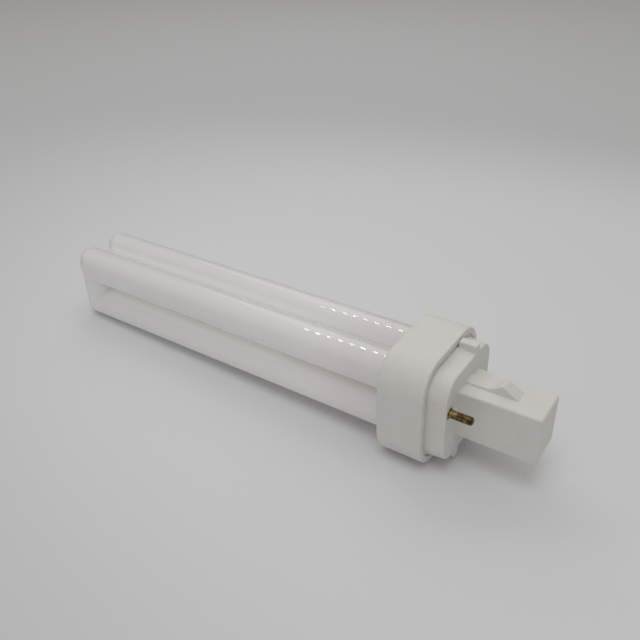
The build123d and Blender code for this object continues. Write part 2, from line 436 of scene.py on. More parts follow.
def turned(profile: Profile, sides: int, at: Pair) -> Mesh:
    """Solid of revolution about a line along X.

    Args:
        profile: Places along X with their radius. A radius of 0 closes the solid.
        sides: Faces round the line.
        at: Y and Z of the line.

    Returns:
        The mesh, with its faces outwards.
    """
    loops = [[Vector((x, at[0] + y, at[1] + z)) for y, z in circle(radius, sides)] for x, radius in profile]
    work = skinned(loops, profile[0][1] > 0, profile[-1][1] > 0)
    bmesh.ops.remove_doubles(work, verts=work.verts, dist=SAME_PLACE)
    return closed(work)


def prism(outline: Profile, low: float, high: float, bevel: float) -> Mesh:
    """Solid with an outline in X and Z and straight sides along Y, with its edges eased.

    Args:
        outline: The outline's corners.
        low: Where the solid starts along Y.
        high: Where it ends.
        bevel: Width of the eased edges.

    Returns:
        The mesh, with its faces outwards.
    """
    work = skinned([[Vector((x, y, z)) for x, z in outline] for y in (low, high)])
    bmesh.ops.recalc_face_normals(work, faces=work.faces)
    bmesh.ops.bevel(work, geom=list(work.edges), offset=bevel * MM, segments=4, profile=0.5, affect="EDGES")
    return closed(work)


@dataclass(frozen=True)
class Box:
    """Lowest and highest corner of one node of the frame."""

    low: Vector
    high: Vector

    @classmethod
    def of(cls, node: str) -> "Box":
        """Measure the named node of the frame."""
        low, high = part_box(node)
        return cls(low / MM, high / MM)


class Paint(Nodes):
    """A procedural material in the making: one Principled shader and what feeds it."""

    def __init__(self, name: str) -> None:
        """Start a material whose patterns read Object coordinates.

        Args:
            name: The material's name.
        """
        self.material = bpy.data.materials.new(name)
        self.material.use_nodes = True
        super().__init__(self.material.node_tree)
        self.shader = self.tree.nodes["Principled BSDF"]
        self.place = self.node("ShaderNodeTexCoord").outputs["Object"]

    def set(self, **values: object) -> None:
        """Fill inputs of the shader, named as for fill."""
        self.fill(self.shader, **values)

    def stretched(self, share: float) -> Node:
        """The object's coordinates, with X scaled by a share, so that patterns run along the piece."""
        return self.node("ShaderNodeMapping", Vector=self.place, Scale=(share, 1.0, 1.0))

    def noise(self, feature: float, detail: float = 3.0, rough: float = 0.5,
              where: Node | None = None, shift: float = 0.0) -> Term:
        """Cloudy noise from 0 to 1.

        Args:
            feature: Size of its features.
            detail: How many finer layers it has.
            rough: How strong the finer layers are.
            where: Coordinates, if not the object's own.
            shift: Picks another pattern of the same kind.

        Returns:
            The noise.
        """
        texture = self.tree.nodes.new("ShaderNodeTexNoise")
        texture.noise_dimensions = "4D"
        self.fill(texture, Vector=where or self.place, W=shift, Scale=1 / (feature * MM),
                  Detail=detail, Roughness=rough)
        return Term(self.tree, texture.outputs[0])

    def blend(self, share: Term, low: Triple | NodeSocket, high: Triple | NodeSocket) -> NodeSocket:
        """Mix two colours.

        Args:
            share: From 0 for the first colour to 1 for the second.
            low: The first colour.
            high: The second colour.

        Returns:
            The mixed colour.
        """
        mix = self.tree.nodes.new("ShaderNodeMix")
        mix.data_type = "RGBA"
        plug(self.tree, share, mix.inputs[0])
        for value, slot in ((low, mix.inputs[6]), (high, mix.inputs[7])):
            plug(self.tree, (*value, 1.0) if isinstance(value, tuple) else value, slot)
        return mix.outputs[2]

    def bump(self, height: Term, depth: float) -> None:
        """Raise the surface by a height from 0 to 1, times a depth."""
        self.set(Normal=self.node("ShaderNodeBump", Height=height, Distance=depth * MM, Strength=1.0))


@dataclass(frozen=True)
class PhosphorGlass:
    """Clear glossy glass over a white phosphor coat: uneven, lighter and pinker towards the cap and greyer
    right by it, with painted light between the legs, in the creases.
    """

    white: Triple = (0.79, 0.797, 0.812)
    thin: Triple = (0.777, 0.78, 0.792)
    # lighter, pinker tone towards the cap
    toward_cap_tint: Triple = (0.825, 0.803, 0.806)
    toward_cap_tint_along: Pair = (-30.0, -130.0)
    # greyer tone over the last stretch before the cap
    near_cap_grey: Triple = (0.75, 0.725, 0.725)
    near_cap_grey_along: Pair = (-48.0, -22.0)
    # colour and reach of the light painted into the creases between the legs
    crease_painted_light: Triple = (0.955, 0.95, 0.94)
    crease_light_gap: Pair = (2.8, 0.9)
    slit_light_along: Pair = (-141.0, -133.0)
    crease_light_near_cap: float = 0.45
    crease_light_along: Pair = (-38.0, -66.0)
    wall: Triple = (0.93, 0.925, 0.92)
    wall_roughness: float = 0.03
    cloud: float = 9.0
    stretch: float = 0.35
    grain: float = 0.5
    grain_share: float = 0.2
    contrast: Pair = (0.3, 0.7)
    roughness: float = 0.42
    unevenness: float = 0.15
    scattering: float = 0.6
    scatter_color: Triple = (1.0, 0.97, 0.95)
    scatter_depth: float = 3.0
    ripple: float = 4.0
    ripple_depth: float = 0.012

    def material(self) -> Material:
        """Build the material.

        Returns:
            The material.
        """
        paint = Paint("phosphor_glass")
        along = paint.stretched(self.stretch)
        clouds = paint.noise(self.cloud, detail=4.0, rough=0.55, where=along)
        grain = paint.noise(self.grain, detail=2.0, shift=3.0)
        share = clouds * (1 - self.grain_share) + grain * self.grain_share
        coat = paint.blend(share.eased(*self.contrast), self.thin, self.white)
        x, y, z = paint.split(paint.place)
        # lighter and pinker from the bend's side towards the cap
        coat = paint.blend(x.eased(*self.toward_cap_tint_along, MM), self.toward_cap_tint, coat)
        # greyer over the last stretch before the cap
        coat = paint.blend(x.eased(*self.near_cap_grey_along, MM), coat, self.near_cap_grey)
        # painted light: the coat turns lighter where the legs face each other across the creases and in the
        # slit by the bend, weaker near the cap, standing in for light the glass passes on
        beside = y.size().eased(*self.crease_light_gap, MM)
        above = z.size().eased(*self.crease_light_gap, MM) * x.eased(*self.slit_light_along, MM)
        away = x.eased(*self.crease_light_along, MM) * (1 - self.crease_light_near_cap) + self.crease_light_near_cap
        coat = paint.blend(beside.math("MAXIMUM", above) * away, coat, self.crease_painted_light)
        paint.set(Base_Color=coat, Roughness=clouds * self.unevenness + self.roughness)
        paint.set(IOR=GLASS_INDEX, Specular_IOR_Level=0.3, Coat_Weight=1.0, Coat_IOR=GLASS_INDEX)
        paint.set(Coat_Roughness=self.wall_roughness, Coat_Tint=(*self.wall, 1.0))
        paint.set(Subsurface_Weight=self.scattering, Subsurface_Radius=self.scatter_color)
        paint.set(Subsurface_Scale=self.scatter_depth * MM)
        paint.bump(paint.noise(self.ripple, detail=2.0, where=along, shift=7.0), self.ripple_depth)
        return paint.material


@dataclass(frozen=True)
class MouldedPlastic:
    """Satin warm white thermoplastic with a fine moulded grain and faint handling marks."""

    light: Triple = (0.805, 0.80, 0.768)
    dull: Triple = (0.788, 0.779, 0.743)
    cloud: float = 7.0
    cloud_contrast: Pair = (0.35, 0.62)
    speck: float = 0.9
    speck_contrast: Pair = (0.66, 0.76)
    speck_share: float = 0.5
    roughness: float = 0.42
    unevenness: float = 0.16
    grain: float = 0.16
    grain_share: float = 0.25
    wave: float = 3.5
    depth: float = 0.02

    def material(self) -> Material:
        """Build the material.

        Returns:
            The material.
        """
        paint = Paint("moulded_plastic")
        clouds = paint.noise(self.cloud, detail=4.0, rough=0.6)
        specks = paint.noise(self.speck, detail=2.0, rough=0.7, shift=5.0).eased(*self.speck_contrast)
        share = clouds.eased(*self.cloud_contrast) - specks * self.speck_share
        paint.set(Base_Color=paint.blend(share.math("MAXIMUM", 0.0), self.dull, self.light))
        paint.set(Roughness=clouds * self.unevenness + self.roughness, IOR=1.5, Specular_IOR_Level=0.3)
        grain = paint.noise(self.grain, detail=2.0, rough=0.6, shift=2.0)
        waves = paint.noise(self.wave, detail=1.0, shift=9.0)
        paint.bump(grain * self.grain_share + waves, self.depth)
        return paint.material


@dataclass(frozen=True)
class AgedBrass:
    """Drawn brass, browned and blotched with age, with a painted highlight that makes it brighter at its
    root.
    """

    bright: Triple = (0.50, 0.38, 0.20)
    brown: Triple = (0.085, 0.052, 0.02)
    # reach and strength of the highlight painted at the pin's root
    root_highlight_reach: float = 4.0
    root_highlight_strength: float = 0.12
    draw_mark: float = 0.5
    draw_stretch: float = 0.15
    draw_share: float = 0.45
    blotch: float = 1.4
    blotch_share: float = 0.75
    contrast: Pair = (0.53, 0.86)
    roughness: float = 0.45
    polish: float = 0.25
    depth: float = 0.02

    def material(self) -> Material:
        """Build the material.

        Returns:
            The material.
        """
        paint = Paint("aged_brass")
        drawn = paint.noise(self.draw_mark, rough=0.6, where=paint.stretched(self.draw_stretch))
        blotch = paint.noise(self.blotch, rough=0.6, shift=11.0)
        x, _, _ = paint.split(paint.place)
        # painted highlight: brighter over the last few millimetres at the pin's root
        painted_root_highlight = x.eased(self.root_highlight_reach, 0.0, MM) * self.root_highlight_strength
        share = (drawn * self.draw_share + blotch * self.blotch_share + painted_root_highlight).eased(*self.contrast)
        paint.set(Base_Color=paint.blend(share, self.brown, self.bright), Metallic=1.0)
        paint.set(Roughness=blotch.math("MULTIPLY_ADD", -self.polish, self.roughness))
        paint.bump(drawn, self.depth)
        return paint.material


@dataclass(frozen=True)
class Mottled:
    """A plain finish with two close colours in a cloud pattern, and a bump of its own size."""

    name: str
    light: Triple
    dark: Triple
    feature: float
    roughness: float
    depth: float
    metallic: float = 0.0
    coat: float = 0.0
    coat_roughness: float = 0.08
    contrast: Pair = (0.35, 0.65)
    unevenness: float = 0.15

    def material(self) -> Material:
        """Build the material.

        Returns:
            The material.
        """
        paint = Paint(self.name)
        clouds = paint.noise(self.feature, detail=4.0, rough=0.6)
        paint.set(Base_Color=paint.blend(clouds.eased(*self.contrast), self.dark, self.light))
        paint.set(Metallic=self.metallic, Coat_Weight=self.coat, Coat_Roughness=self.coat_roughness)
        paint.set(Roughness=clouds * self.unevenness + self.roughness)
        paint.bump(paint.noise(self.feature / 3, rough=0.6, shift=1.0), self.depth)
        return paint.material


@dataclass(frozen=True)
class StarterGlass:
    """Clear glass of the starter's envelope, with a faint smoky deposit."""

    clear: Triple = (0.94, 0.96, 0.95)
    smoky: Triple = (0.80, 0.80, 0.78)
    deposit: float = 2.5
    contrast: Pair = (0.45, 0.8)
    roughness: float = 0.01
    unevenness: float = 0.06
    ripple: float = 1.5
    depth: float = 0.01

    def material(self) -> Material:
        """Build the material.

        Returns:
            The material.
        """
        paint = Paint("starter_glass")
        deposit = paint.noise(self.deposit)
        paint.set(Base_Color=paint.blend(deposit.eased(*self.contrast), self.clear, self.smoky))
        paint.set(Roughness=deposit * self.unevenness + self.roughness, IOR=GLASS_INDEX)
        paint.set(Transmission_Weight=1.0)
        paint.bump(paint.noise(self.ripple, detail=1.0, shift=6.0), self.depth)
        return paint.material


@dataclass(frozen=True)
class WovenSleeve:
    """Braided glass sleeve: two sets of slanted strands that cross."""

    light: Triple = (0.76, 0.75, 0.70)
    gap: Triple = (0.42, 0.40, 0.35)
    pitch: float = 0.28
    roughness: float = 0.75
    sheen: float = 0.2
    depth: float = 0.06

    def material(self) -> Material:
        """Build the material.

        Returns:
            The material.
        """
        paint = Paint("woven_sleeve")
        x, y, z = paint.split(paint.place)
        rate = FULL_TURN / (self.pitch * MM)
        braid = ((x + z) * rate).sin() * ((y - z) * rate).sin() * 0.5 + 0.5
        paint.set(Base_Color=paint.blend(braid, self.gap, self.light))
        paint.set(Roughness=braid * -self.sheen + self.roughness)
        paint.bump(braid, self.depth)
        return paint.material


def dressed(name: str, mesh: Mesh, material: Material, slot: str, *nodes: str) -> Object:
    """Make a mesh a piece of the lamp, smooth, with its corners sharp and its flat faces even.

    Args:
        name: The piece's name.
        mesh: Its mesh, in place, in metres.
        material: Its finish.
        slot: Not used.
        nodes: The nodes of the frame that it stands for.

    Returns:
        The piece's object.
    """
    mesh.materials.clear()
    mesh.materials.append(material)
    mesh.polygons.foreach_set("material_index", [0] * len(mesh.polygons))
    mesh.shade_smooth()
    mesh.set_sharp_from_angle(angle=SHARP_FROM)
    host = placed(name, mesh)
    host.modifiers.new("normals", "WEIGHTED_NORMAL").keep_sharp = True
    piece = placed(name, baked(host))
    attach(piece, BODY)
    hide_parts(*nodes)
    log.info("%s: %d faces", name, len(piece.data.polygons))
    return piece


@dataclass
class DischargeTube:
    """The sealed glass vessel: two squared U tubes, a bridge, pinched seals and an exhaust tip."""

    radius: float = 6.0
    outer_round: float = 3.4
    inner_round: float = 0.8
    leg_end_depth: float = 13.5
    end_round: float = 2.0
    bend_share: float = 0.12
    corner_share: float = 0.34
    leg_share: float = 0.92
    end_share: float = 0.98
    bridge_radius: float = 3.5
    bridge_depth: float = 27.0
    bridge_flare: float = 0.5
    bridge_reach: float = 0.6
    bridge_steps: int = 16
    bridge_sides: int = 40
    pinch_depth: float = 9.1
    pinch_width: float = 9.4
    pinch_thickness: float = 3.0
    pinch_corner: float = 0.6
    pinch_edge: float = 0.4
    tip_radius: float = 1.5
    tip_length: float = 2.6
    tip_steps: int = 8
    waviness: float = 0.05
    waves_per_metre: float = 70.0
    stations: int = 241
    sides: int = 72
    box: Box = Box.of("discharge_tube")

    @property
    def leg_offset(self) -> float:
        """How far each leg's centre line lies from the lamp's axis, along Y and along Z."""
        return self.box.high.z - self.radius

    @property
    def root(self) -> float:
        """Where a leg's end starts to round, along X. What stands out of the end starts here."""
        return -(self.leg_end_depth + self.end_round)

    def legs(self, material: Material) -> Mesh:
        """Both squared U tubes, from one rule in a Geometry Nodes tree.

        The rule runs over a grid. One way goes along the tube, from one closed end over the bend to the
        other, and the other way goes round it. A point that lies further out from the U's inside takes a
        wider turn at the squared corner.

        Args:
            material: The glass.

        Returns:
            The two tubes as one mesh.
        """
        shape = ShapeTree("squared_u_tubes")
        radius = shape.length("Tube Radius", self.radius)
        offset = shape.length("Leg Offset", self.leg_offset)
        far = shape.length("Bend Centre", self.box.low.x + self.radius)
        wide = shape.length("Outer Corner Round", self.outer_round)
        tight = shape.length("Inner Corner Round", self.inner_round)
        mouth = shape.length("Leg End", self.root)
        dome = shape.length("End Round", self.end_round)
        wave = shape.length("Waviness", self.waviness)
        grid = shape.node("GeometryNodeMeshGrid", Size_X=1.0, Size_Y=1.0,
                          Vertices_X=shape.count("Stations", self.stations),
                          Vertices_Y=shape.count("Sides", self.sides + 1))
        along, around, _ = shape.split(shape.node("GeometryNodeInputPosition"))
        way = along * 2.0
        run = way.size()
        turn = (around + 0.5) * FULL_TURN
        bend = run.between(0.0, self.bend_share)
        corner = run.between(self.bend_share, self.corner_share) * QUARTER_TURN
        leg = run.between(self.corner_share, self.leg_share)
        close = run.between(self.leg_share, self.end_share) * QUARTER_TURN
        disc = run.between(self.end_share, 1.0)
        flat = radius - dome
        section = flat + dome * close.cos() - flat * disc
        outward = section * turn.cos()
        sweep = tight + (wide - tight) * (outward.math("DIVIDE", radius) * 0.5 + 0.5)
        height = (offset + outward - sweep) * bend + sweep * corner.sin()
        reach = far - outward
        turned_x = reach + sweep - sweep * corner.cos()
        x = turned_x + (mouth - (reach + sweep)) * leg + dome * close.sin()
        place = shape.vector(x, section * turn.sin(), height * way.math("SIGN"))
        bent = shape.node("GeometryNodeSetPosition", Geometry=grid, Position=place)
        sealed = shape.node("GeometryNodeMergeByDistance", Geometry=bent, Distance=SAME_PLACE)
        pair = shape.node("GeometryNodeMeshLine", Count=2,
                          Start_Location=shape.vector(0.0, offset * -1.0, 0.0),
                          Offset=shape.vector(0.0, offset * 2.0, 0.0))
        both = shape.node("GeometryNodeInstanceOnPoints", Points=pair, Instance=sealed)
        real = shape.node("GeometryNodeRealizeInstances", Geometry=both)
        noise = shape.node("ShaderNodeTexNoise", Scale=self.waves_per_metre, Detail=1.0)
        push = shape.node("ShaderNodeVectorMath")
        push.operation = "SCALE"
        plug(shape.tree, shape.node("GeometryNodeInputNormal"), push.inputs[0])
        plug(shape.tree, (Term(shape.tree, noise.outputs[0]) - 1.0) * wave, push.inputs["Scale"])
        uneven = shape.node("GeometryNodeSetPosition", Geometry=real, Offset=push)
        return shape.mesh(uneven, material)

    def bridge(self) -> Mesh:
        """Short blown joint between the two lower legs, a little wider at its ends.

        Returns:
            The joint.
        """
        loops = []
        for step in range(self.bridge_steps + 1):
            share = 2 * step / self.bridge_steps - 1
            radius = self.bridge_radius + self.bridge_flare * share ** 4
            y = share * self.leg_offset * self.bridge_reach
            loops.append([Vector((x - self.bridge_depth, y, z - self.leg_offset))
                          for x, z in circle(radius, self.bridge_sides)])
        return closed(skinned(loops))

    def pinch(self, y: float) -> Mesh:
        """Flat pressed seal on the end of one upper leg.

        Args:
            y: The leg's place.

        Returns:
            The seal.
        """
        face = Ring(-self.pinch_depth, self.pinch_width, self.pinch_thickness, self.pinch_corner)
        rings = [face.moved(self.root), *rounding(face, self.pinch_edge)]
        mesh = loft(rings, steps=5)
        mesh.transform(Matrix.Translation(Vector((0, y, self.leg_offset)) * MM))
        return mesh

    def exhaust_tip(self) -> Mesh:
        """Sealed off tip on the end of the lower front leg.

        Returns:
            The tip.
        """
        base = -self.leg_end_depth + self.tip_length - self.tip_radius
        profile = [(self.root, self.tip_radius), (base, self.tip_radius)]
        profile += [(base + self.tip_radius * sine, self.tip_radius * cosine)
                    for sine, cosine in quarter(self.tip_steps)[1:-1]]
        profile.append((base + self.tip_radius, 0.0))
        return turned(profile, sides=24, at=(-self.leg_offset, -self.leg_offset))

    def build(self, glass: PhosphorGlass) -> Object:
        """Make the vessel one piece in its glass.

        Args:
            glass: Its finish.

        Returns:
            The piece.
        """
        material = glass.material()
        pinches = [self.pinch(y) for y in (-self.leg_offset, self.leg_offset)]
        extras = [self.bridge(), *pinches, self.exhaust_tip()]
        vessel = combined(self.legs(material), [(Join.ADD, extras)])
        return dressed("glass_vessel", vessel, material, "tube_glass", "discharge_tube")


@dataclass
class Collar:
    """Hollow square moulding that holds the four legs."""

    corner: float = 9.5
    wall: float = 2.0
    glass_edge: float = 0.9
    rim_edge: float = 0.4
    inner_edge: float = 0.25
    ledge_width: float = 1.3
    ledge_thickness: float = 1.2
    ledge_depth: float = 8.0
    hole_radius: float = 6.2
    hole_flare: float = 0.35
    hole_lead: float = 0.2
    box: Box = Box.of("collar")

    def shell(self) -> Mesh:
        """Cup shaped shell, from the cavity's floor over the rim to the outside of its end wall.

        Returns:
            The shell, without the legs' holes.
        """
        side = self.box.high.y - self.box.low.y
        end, rim = self.box.low.x, self.box.high.x
        outside = Ring(rim, side, side, self.corner)
        cavity = outside.moved(rim, self.wall)
        ledge = cavity.moved(-self.ledge_depth, self.ledge_width)
        foot = -self.ledge_depth - self.ledge_thickness
        rings = [cavity.moved(end + self.wall), cavity.moved(foot), ledge.moved(foot), ledge]
        rings.append(cavity.moved(-self.ledge_depth))
        rings += rounding(cavity, -self.inner_edge, steps=3)
        rings += reversed(rounding(outside, self.rim_edge))
        rings += rounding(outside.moved(end), self.glass_edge, Toward.GLASS_END, steps=8)
        return loft(rings, steps=20)

    def leg_hole(self, at: Pair) -> Mesh:
        """What is cut away for one leg, with an eased edge on the glass side.

        Args:
            at: Y and Z of the leg.

        Returns:
            The cutter.
        """
        start, end = self.box.low.x, self.box.low.x + self.wall + OVERSHOOT
        wide = self.hole_radius + self.hole_flare
        profile = [(start - OVERSHOOT, 0.0), (start - OVERSHOOT, wide + self.hole_lead), (start, wide)]
        profile += [(start + self.hole_flare * sine, self.hole_radius + self.hole_flare * (1 - sine))
                    for sine, _ in quarter(4)[1:]]
        profile += [(end, self.hole_radius), (end, 0.0)]
        return turned(profile, sides=64, at=at)

    def build(self, offset: float, plastic: Material) -> None:
        """Make the collar one piece in its plastic.

        Args:
            offset: How far each leg lies from the axis, along Y and along Z.
            plastic: The finish.
        """
        holes = [self.leg_hole((y, z)) for y in (-offset, offset) for z in (-offset, offset)]
        mesh = combined(self.shell(), [(Join.CUT, holes)])
        dressed("collar_moulding", mesh, plastic, "cap_plastic", "collar")


@dataclass
class CapBase:
    """Second moulding: flange, step with its seating face, keys, starter block and latch noses."""

    flange_side: float = 30.34
    flange_corner: float = 7.42
    flange_foot: float = 8.0
    flange_top: float = 6.0
    step_side: float = 28.0
    step_corner: float = 6.2
    step_draft: float = 0.4
    step_edge: float = 0.5
    step_wall: float = 1.6
    face_wall: float = 2.0
    key_low: float = 3.5
    key_width: float = 2.5
    key_rise: float = 2.4
    key_length: float = 5.4
    key_setback: float = 0.02
    key_edge: float = 0.3
    block_corner: float = 0.7
    block_edge: float = 0.686
    block_width: float = 12.8
    block_height: float = 15.5
    block_wall: float = 1.2
    block_end_wall: float = 1.5
    nose_width: float = 4.3
    nose_land: float = 0.8
    nose_land_end: float = 6.4
    nose_crest_start: float = 9.8
    nose_crest_end: float = 10.4
    nose_rise: float = 2.8
    nose_end: float = 15.1
    nose_ramp: tuple[float, ...] = (1.0, 0.67, 0.33, 0.0)
    nose_hollow: float = 1.4
    nose_edge: float = 0.28
    boss_radius: float = 2.35
    boss_depth: float = 6.0
    pin_bore: float = 1.45
    counterbore_radius: float = 1.7
    counterbore_depth: float = 0.5
    seat_radius: float = 1.9
    box: Box = Box.of("cap_base")

    def step(self) -> Mesh:
        """Flange and drafted step, filled.

        Returns:
            The solid.
        """
        flange = Ring(-self.flange_foot, self.flange_side, self.flange_side, self.flange_corner)
        face = Ring(0.0, self.step_side, self.step_side, self.step_corner)
        rings = [flange, flange.moved(-self.flange_top), face.moved(-self.flange_top, -self.step_draft)]
        return loft(rings + rounding(face, self.step_edge), steps=16)

    def block(self) -> Mesh:
        """Outside of the starter block, filled."""
        end = Ring(self.box.high.x, self.block_width, self.block_height, self.block_corner)
        return loft([end.moved(-self.face_wall / 2), *rounding(end, self.block_edge)], steps=6)

    def hollows(self) -> tuple[Mesh, Mesh]:
        """The space inside the step and the space inside the block.

        Returns:
            Both spaces.
        """
        side = self.step_side - 2 * self.step_wall
        room = Ring(-self.flange_foot - OVERSHOOT, side, side, self.step_corner - self.step_wall)
        well = Ring(-self.face_wall - OVERSHOOT, self.block_width - 2 * self.block_wall,
                    self.block_height - 2 * self.block_wall, self.block_corner)
        return (loft([room, room.moved(-self.face_wall)], steps=10),
                loft([well, well.moved(self.box.high.x - self.block_end_wall)], steps=4))

    def key(self) -> Mesh:
        """Key on the step's upper side.

        Returns:
            The solid.
        """
        low = self.step_side / 2 - self.step_wall / 2
        high = self.step_side / 2 + self.key_rise
        front = -self.key_setback
        outline = [(-self.key_length, low), (front, low), (front, high), (-self.key_length, high)]
        return prism(outline, self.key_low, self.key_low + self.key_width, self.key_edge)

    def nose(self) -> Mesh:
        """Latch nose on the block's upper narrow side.

        Returns:
            The solid.
        """
        side = self.block_height / 2
        root = side - self.block_wall / 2
        outline = [(-self.face_wall / 2, root), (self.nose_end, root), (self.nose_end, side),
                   (self.nose_crest_end, side + self.nose_rise)]
        for share in self.nose_ramp:
            rise = (self.nose_rise - self.nose_land) * share ** self.nose_hollow
            run = (self.nose_crest_start - self.nose_land_end) * share
            outline.append((self.nose_land_end + run, side + self.nose_land + rise))
        outline.append((-self.face_wall / 2, side + self.nose_land))
        return prism(outline, -self.nose_width / 2, self.nose_width / 2, self.nose_edge)

    def pin_hole(self, at: Pair) -> Mesh:
        """Bore, counterbore and collar seat of one pin.

        Args:
            at: Y and Z of the pin.

        Returns:
            The cutter.
        """
        foot = -self.flange_foot - OVERSHOOT
        profile = [(foot, 0.0), (foot, self.seat_radius), (-self.boss_depth, self.seat_radius),
                   (-self.boss_depth, self.pin_bore), (-self.counterbore_depth, self.pin_bore),
                   (-self.counterbore_depth, self.counterbore_radius), (OVERSHOOT, self.counterbore_radius),
                   (OVERSHOOT, 0.0)]
        return turned(profile, sides=48, at=at)

    def build(self, pins: list[Pair], plastic: Material) -> None:
        """Make the moulding one piece in its plastic.

        Args:
            pins: Y and Z of each contact pin.
            plastic: The finish.
        """
        room, well = self.hollows()
        steps = [(Join.CUT, [room]), (Join.ADD, [self.block()]), (Join.CUT, [well])]
        boss = [(-self.boss_depth, self.boss_radius), (-self.face_wall / 2, self.boss_radius)]
        steps += [(Join.ADD, [turned(boss, sides=40, at=pin)]) for pin in pins]
        for make in (self.key, self.nose):
            for angle in (0.0, HALF_TURN):
                mesh = make()
                mesh.transform(Matrix.Rotation(angle, 4, "X"))
                steps.append((Join.ADD, [mesh]))
        steps += [(Join.CUT, [self.pin_hole(pin)]) for pin in pins]
        dressed("cap_moulding", combined(self.step(), steps), plastic, "cap_plastic", "cap_base")


@dataclass
class ContactPin:
    """Turned brass pin: rounded free end, shank in its boss, collar and hollow tail."""

    side: Side
    radius: float = 1.2
    tip_round: float = 0.8
    shank_radius: float = 1.45
    shoulder_round: float = 0.12
    boss_depth: float = 6.0
    collar_radius: float = 1.7
    collar_thickness: float = 0.8
    tail_radius: float = 0.95
    bore_radius: float = 0.6
    tip_wall: float = 1.5
    sides: int = 56

    @property
    def box(self) -> Box:
        """The pin's node, measured."""
        return Box.of(self.side.value)

    @property
    def centre(self) -> Pair:
        """Y and Z of the pin's axis."""
        middle = (self.box.low + self.box.high) / 2
        return middle.y, middle.z

    def profile(self) -> Profile:
        """The pin's outline, from the bore's floor round to the tip.

        Returns:
            Places along the pin with their radius.
        """
        reach, tail = self.box.high.x, self.box.low.x
        back = -self.boss_depth - self.collar_thickness
        found = [(reach - self.tip_wall, 0.0), (reach - self.tip_wall, self.bore_radius),
                 (tail, self.bore_radius), (tail, self.tail_radius), (back, self.tail_radius),
                 (back, self.collar_radius), (-self.boss_depth, self.collar_radius),
                 (-self.boss_depth, self.shank_radius), (-self.shoulder_round, self.shank_radius),
                 (0.0, self.shank_radius - self.shoulder_round), (0.0, self.radius)]
        found += [(reach - self.tip_round * (1 - sine), self.radius - self.tip_round * (1 - cosine))
                  for sine, cosine in quarter(8)]
        return [*found, (reach, 0.0)]

    def build(self, brass: Material) -> None:
        """Make the pin one piece in its brass."""
        mesh = turned(self.profile(), self.sides, self.centre)
        dressed(self.side.value + "_turned", mesh, brass, "pin_brass", self.side.value)


@dataclass
class HiddenParts:
    """What the cap holds: its finishes, each with how the names of its nodes start."""

    finishes: tuple[tuple[Mottled | StarterGlass | WovenSleeve, tuple[str, ...]], ...] = (
        (Mottled("basing_cement", (0.62, 0.57, 0.48), (0.50, 0.45, 0.37),
                 feature=1.2, roughness=0.78, depth=0.12), ("basing_cement",)),
        (Mottled("bimetal", (0.56, 0.53, 0.49), (0.44, 0.40, 0.36),
                 feature=0.8, roughness=0.28, depth=0.01, metallic=1.0), ("starter_bimetal_strip",)),
        (StarterGlass(), ("starter_bulb",)),
        (Mottled("tinned_wire", (0.66, 0.65, 0.62), (0.50, 0.49, 0.47),
                 feature=0.5, roughness=0.23, depth=0.01, metallic=1.0),
         ("starter_fixed_post", "starter_strip_post", "capacitor_lead", "tube_to")),
        (Mottled("dipped_resin", (0.42, 0.07, 0.045), (0.33, 0.05, 0.03),
                 feature=2.5, roughness=0.23, depth=0.05, coat=0.6), ("capacitor_body",)),
        (WovenSleeve(), ("pin_lead_sleeve", "starter_lead_sleeve")),
        (Mottled("tin_plate", (0.70, 0.69, 0.66), (0.55, 0.54, 0.52),
                 feature=0.7, roughness=0.25, depth=0.02, metallic=1.0), ("splice",)),
    )

    def build(self) -> None:
        """Give every hidden node its finish."""
        for finish, starts in self.finishes:
            material = finish.material()
            for name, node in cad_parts.items():
                if name.startswith(starts):
                    node.data.materials.clear()
                    node.data.materials.append(material)
                    log.info("%s: finished in %s", name, material.name)


@dataclass(frozen=True)
class Lamp:
    """Square area lamp: where it hangs, its side, its power in watts, its colour and what it faces."""

    name: str
    place: Triple
    size: float
    power: float
    color: Triple = (0.96, 1.0, 1.035)
    aim: Triple = (-40.0, 0.0, 0.0)

    def hang(self) -> Object:
        """Hang the lamp.

        Returns:
            The lamp's object.
        """
        data = bpy.data.lights.new(self.name, "AREA")
        data.size = self.size * MM
        data.energy = self.power
        data.color = self.color
        lamp = placed(self.name, data)
        place = Vector(self.place)
        turn = (Vector(self.aim) - place).to_track_quat("-Z", "Y").to_matrix().to_4x4()
        lamp.matrix_world = Matrix.Translation(place * MM) @ turn
        return lamp


